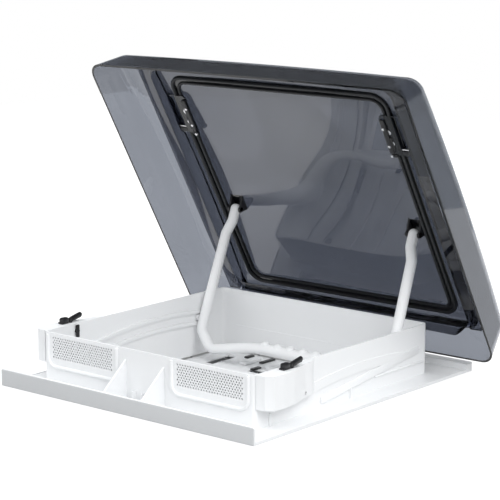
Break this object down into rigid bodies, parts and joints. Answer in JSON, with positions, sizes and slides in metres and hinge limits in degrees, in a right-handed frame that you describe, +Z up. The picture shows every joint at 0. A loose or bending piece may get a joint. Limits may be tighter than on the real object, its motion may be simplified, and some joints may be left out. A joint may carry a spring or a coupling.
{
  "type": "caravan roof vent",
  "caption": "Tinted double-skin dome on a roof frame with grilles, opened by a U-shaped bow, over an inner frame with a blind and an insect screen.",
  "frame": {"origin": "centre of the roof cut-out, on the roof's outer skin (underside of the flange)", "axes": "+Z up out of the roof, +Y from the front edge towards the hinge, +X along the hinge"},
  "size_m": [0.5252, 0.4771, 0.4599],
  "materials": {
    "white_plastic": "glossy",
    "dome_acrylic": "clear, smoke tint",
    "clear_plastic": "translucent",
    "seal_rubber": "matt",
    "black_plastic": "satin",
    "steel": "bright",
    "roller_aluminium": "drawn",
    "blind_cloth": "matt",
    "screen_mesh": "matt"
  },
  "bodies": {
    "base": {"base_frame": "white_plastic", "grille_left": "white_plastic", "grille_right": "white_plastic", "latch_housing_left": "white_plastic", "latch_housing_right": "white_plastic", "guide_rail_left": "white_plastic", "guide_rail_right": "white_plastic", "hinge_bracket_left": "white_plastic", "hinge_bracket_right": "white_plastic", "inner_frame": "white_plastic", "rear_cover": "white_plastic", "front_cover": "white_plastic", "blind_bearings": "white_plastic", "screen_bearings": "white_plastic", "latch_base_left": "black_plastic", "latch_base_right": "black_plastic", "hinge_pin_left": "steel", "hinge_pin_right": "steel", "housing_screws": "steel", "frame_screws": "steel"},
    "dome": {"dome_shell": "dome_acrylic", "inner_pane": "dome_acrylic", "pane_spacer": "seal_rubber", "pane_seal": "seal_rubber", "hinge_arm_left": "white_plastic", "hinge_arm_right": "white_plastic", "bow_bracket_left": "black_plastic", "bow_bracket_right": "black_plastic", "bow_pin_left": "steel", "bow_pin_right": "steel", "catch_pocket_left": "clear_plastic", "catch_pocket_right": "clear_plastic", "catch_block_left": "black_plastic", "catch_block_right": "black_plastic", "catch_pin_left": "steel", "catch_pin_right": "steel", "catch_screws": "steel"},
    "bow": {"bow_handle": "white_plastic", "guide_roller_left": "black_plastic", "guide_roller_right": "black_plastic"},
    "latch_left": {"latch_lever_left": "black_plastic"},
    "latch_right": {"latch_lever_right": "black_plastic"},
    "blind_bar": {"blind_bar": "white_plastic"},
    "blind_roller": {"blind_roller": "roller_aluminium", "blind_fabric": "blind_cloth"},
    "screen_bar": {"screen_bar": "white_plastic"},
    "screen_roller": {"screen_roller": "roller_aluminium", "screen_fabric": "screen_mesh"}
  },
  "joints": [
    {"name": "dome_hinge", "type": "hinge", "parent": "base", "child": "dome", "pos_m": [0, 0.2091, 0.0118], "axis": [1, 0, 0], "range_deg": [0, 60]},
    {"name": "bow_pivot", "type": "hinge", "parent": "dome", "child": "bow", "pos_m": [0, 0.17708, 0.18626], "axis": [1, 0, 0], "range_deg": [-112.17, 0]},
    {"name": "latch_left_turn", "type": "hinge", "parent": "base", "child": "latch_left", "pos_m": [-0.187, -0.121, 0.06], "axis": [1, 0, 0], "range_deg": [-10, 0]},
    {"name": "latch_right_turn", "type": "hinge", "parent": "base", "child": "latch_right", "pos_m": [0.187, -0.121, 0.06], "axis": [1, 0, 0], "range_deg": [-10, 0]},
    {"name": "blind_slide", "type": "slide", "parent": "base", "child": "blind_bar", "axis": [0, -1, 0], "range_m": [0, 0.155]},
    {"name": "blind_wind", "type": "hinge", "parent": "base", "child": "blind_roller", "pos_m": [0, 0.132, -0.035], "axis": [1, 0, 0], "range_deg": [0, 900]},
    {"name": "screen_slide", "type": "slide", "parent": "base", "child": "screen_bar", "axis": [0, 1, 0], "range_m": [0, 0.155]},
    {"name": "screen_wind", "type": "hinge", "parent": "base", "child": "screen_roller", "pos_m": [0, -0.136, -0.035], "axis": [1, 0, 0], "range_deg": [-1100, 0]}
  ],
  "couplings": [
    {"joint": "bow_pivot", "follows": "dome_hinge", "ratio": -1.8694},
    {"joint": "blind_wind", "follows": "blind_slide", "rad_per_m": 100},
    {"joint": "screen_wind", "follows": "screen_slide", "rad_per_m": -117.65}
  ]
}
